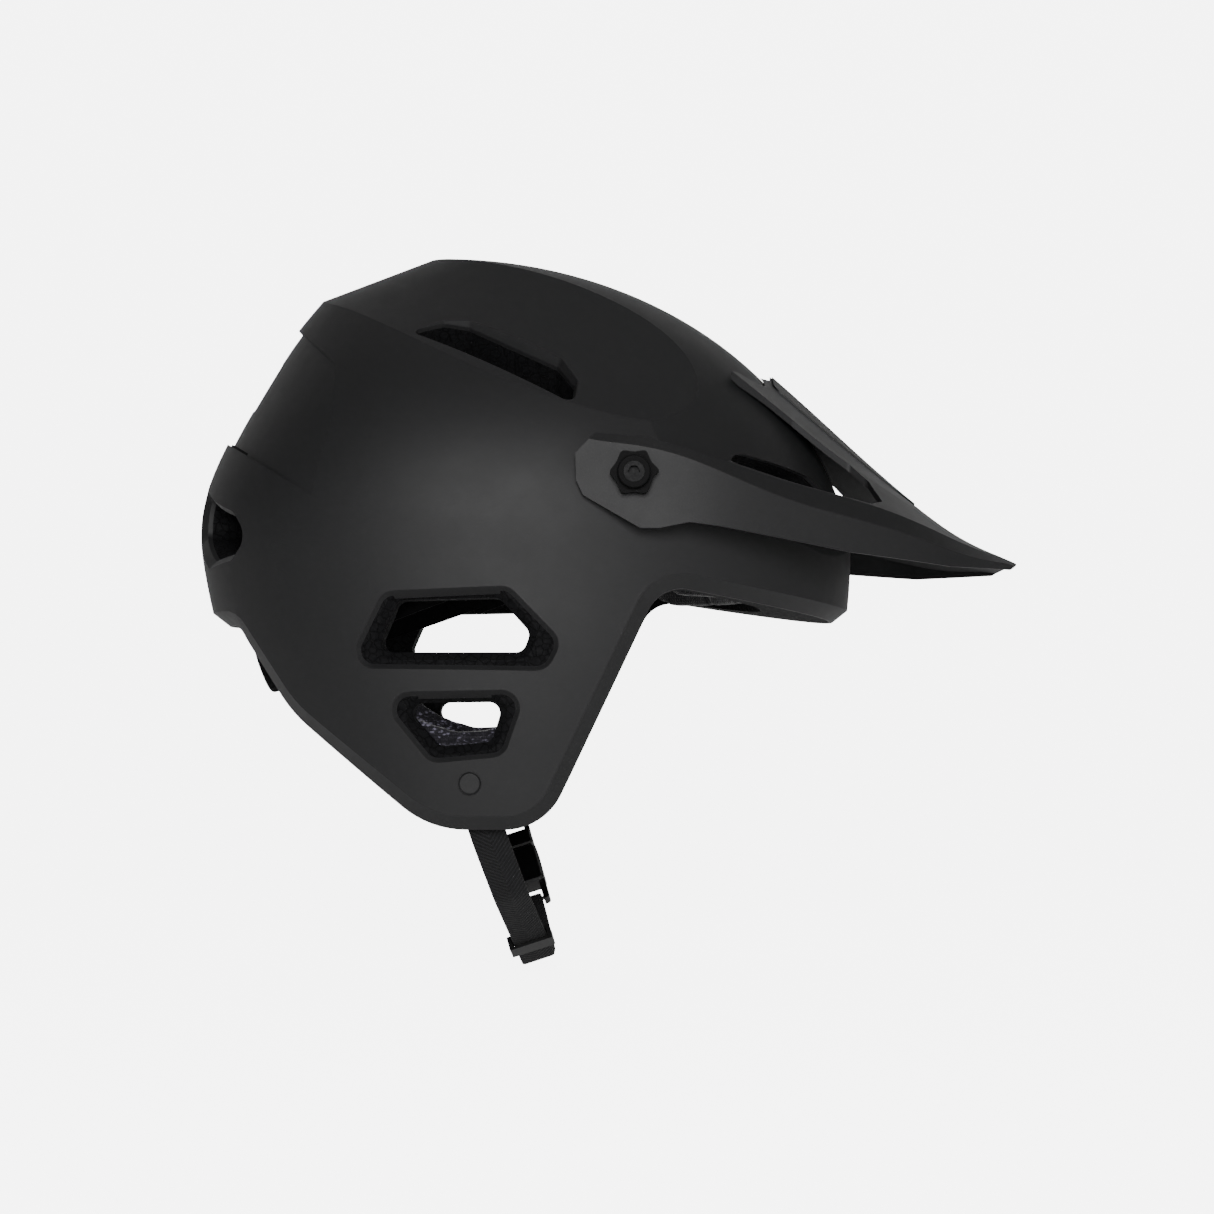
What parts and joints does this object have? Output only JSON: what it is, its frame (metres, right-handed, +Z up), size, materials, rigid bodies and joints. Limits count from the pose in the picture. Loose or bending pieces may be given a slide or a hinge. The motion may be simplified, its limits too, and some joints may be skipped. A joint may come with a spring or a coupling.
{
  "type": "cycling helmet",
  "caption": "Mountain-bike helmet: vented hard shell over foam with deep ear cover, a tilting peak visor on side knobs, dial-tightened cradle and a buckled chin strap.",
  "frame": {"origin": "centre of the head opening, level with the lower edge of the brow", "axes": "+X the way the wearer looks, +Y the wearer's left, +Z up"},
  "size_m": [0.3627, 0.229, 0.3158],
  "materials": {
    "shell": "matte",
    "foam": "matte",
    "visor": "matte",
    "hard_black": "satin",
    "screw": "satin",
    "rivet": "satin",
    "pad": "soft",
    "ear_pad": "printed",
    "webbing": "woven",
    "buckle": "satin"
  },
  "bodies": {
    "helmet": {"outer_shell": "shell", "foam_crown": "foam", "foam_ear_left": "foam", "foam_ear_right": "foam", "visor_boss_left": "hard_black", "visor_boss_right": "hard_black", "crown_pad": "pad", "side_pad_left": "pad", "side_pad_right": "pad", "ear_pad_left": "ear_pad", "ear_pad_right": "ear_pad", "brow_pad": "pad", "rear_pad_left": "pad", "rear_pad_right": "pad", "brow_band": "hard_black", "temple_anchor_left": "hard_black", "temple_anchor_right": "hard_black", "height_rail": "hard_black", "strap_rivet_left": "rivet", "strap_rivet_right": "rivet", "rivet_cap_left": "hard_black", "rivet_cap_right": "hard_black"},
    "visor": {"visor_moulding": "visor"},
    "knob_left": {"knob_left": "hard_black", "knob_screw_left": "screw"},
    "knob_right": {"knob_right": "hard_black", "knob_screw_right": "screw"},
    "cradle": {"cradle_yoke": "hard_black", "cradle_pad_left": "pad", "cradle_pad_right": "pad"},
    "dial": {"dial_knob": "hard_black", "dial_pinion": "hard_black"},
    "band_left": {"band_left": "hard_black"},
    "band_right": {"band_right": "hard_black"},
    "chin_strap": {"strap_right": "webbing", "strap_left": "webbing", "buckle_socket": "buckle", "buckle_plug": "buckle"},
    "keeper": {"strap_keeper": "buckle"},
    "prong_front": {"buckle_prong_front": "buckle"},
    "prong_rear": {"buckle_prong_rear": "buckle"}
  },
  "joints": [
    {"name": "visor_tilt", "type": "hinge", "parent": "helmet", "child": "visor", "pos_m": [0.0465, 0, 0.0583], "axis": [0, -1, 0], "range_deg": [0, 15]},
    {"name": "knob_left_turn", "type": "hinge", "parent": "helmet", "child": "knob_left", "pos_m": [0.0465, 0.109, 0.0583], "axis": [0, 1, 0], "continuous": true},
    {"name": "knob_right_turn", "type": "hinge", "parent": "helmet", "child": "knob_right", "pos_m": [0.0465, -0.109, 0.0583], "axis": [0, -1, 0], "continuous": true},
    {"name": "cradle_height", "type": "slide", "parent": "helmet", "child": "cradle", "axis": [0, 0, -1], "range_m": [0, 0.008]},
    {"name": "dial_turn", "type": "hinge", "parent": "cradle", "child": "dial", "pos_m": [-0.11137, 0, -0.01707], "axis": [-0.9397, 0, -0.342], "range_deg": [-165, 165]},
    {"name": "band_left_slide", "type": "hinge", "parent": "cradle", "child": "band_left", "pos_m": [-0.0315, 0, 0.012], "axis": [-0.342, 0, 0.9397], "range_deg": [-9, 9]},
    {"name": "band_right_slide", "type": "hinge", "parent": "cradle", "child": "band_right", "pos_m": [-0.0315, 0, 0.012], "axis": [-0.342, 0, 0.9397], "range_deg": [-9.2, 9.2]},
    {"name": "chin_strap_swing", "type": "hinge", "parent": "helmet", "child": "chin_strap", "pos_m": [-0.021, 0, -0.069], "axis": [0, -1, 0], "range_deg": [-15, 30]},
    {"name": "keeper_slide", "type": "slide", "parent": "chin_strap", "child": "keeper", "axis": [-0.1697, -0.8358, 0.5221], "range_m": [-0.004, 0.004]},
    {"name": "prong_front_flex", "type": "hinge", "parent": "chin_strap", "child": "prong_front", "pos_m": [-0.01494, 0.05973, -0.10997], "axis": [-0.206, -0.7455, 0.6339], "range_deg": [0, 8], "stiffness_Nm_per_rad": 0.05},
    {"name": "prong_rear_flex", "type": "hinge", "parent": "chin_strap", "child": "prong_rear", "pos_m": [-0.00182, 0.05973, -0.1057], "axis": [0.206, 0.7455, -0.6339], "range_deg": [0, 8], "stiffness_Nm_per_rad": 0.05}
  ],
  "couplings": [
    {"joint": "band_left_slide", "follows": "dial_turn", "ratio": -0.05291},
    {"joint": "band_right_slide", "follows": "dial_turn", "ratio": 0.054201}
  ]
}
